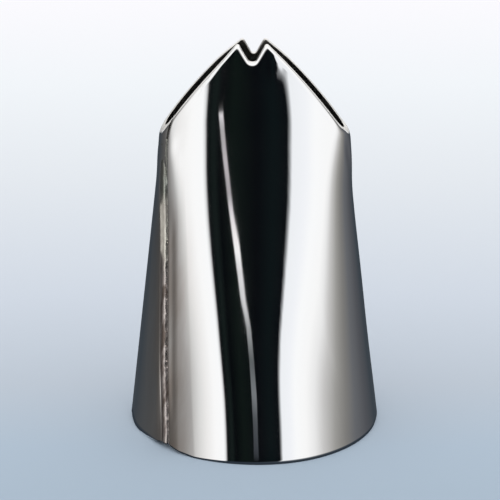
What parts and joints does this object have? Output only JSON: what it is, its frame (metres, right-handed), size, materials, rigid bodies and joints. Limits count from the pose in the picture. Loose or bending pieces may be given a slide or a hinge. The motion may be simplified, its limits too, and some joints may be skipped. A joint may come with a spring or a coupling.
{
  "type": "leaf piping nozzle",
  "caption": "Bright sheet metal piping nozzle, round at its foot and pressed flat to a slit, with a notched pair of pointed lips for leaves and ruffles.",
  "frame": {"origin": "centre of the round foot, on the surface that the nozzle stands on", "axes": "+Z from the foot to the mouth, +X along the slit, and the front with the seam at its left faces -Y"},
  "size_m": [0.0254, 0.0254, 0.0411],
  "materials": {
    "bright_plate": "mirror polished, nickel plated sheet steel",
    "solder": "satin solder, uneven and slightly pink brown"
  },
  "bodies": {
    "root": {"tube_shell": "bright_plate", "seam_solder": "solder"}
  },
  "joints": []
}
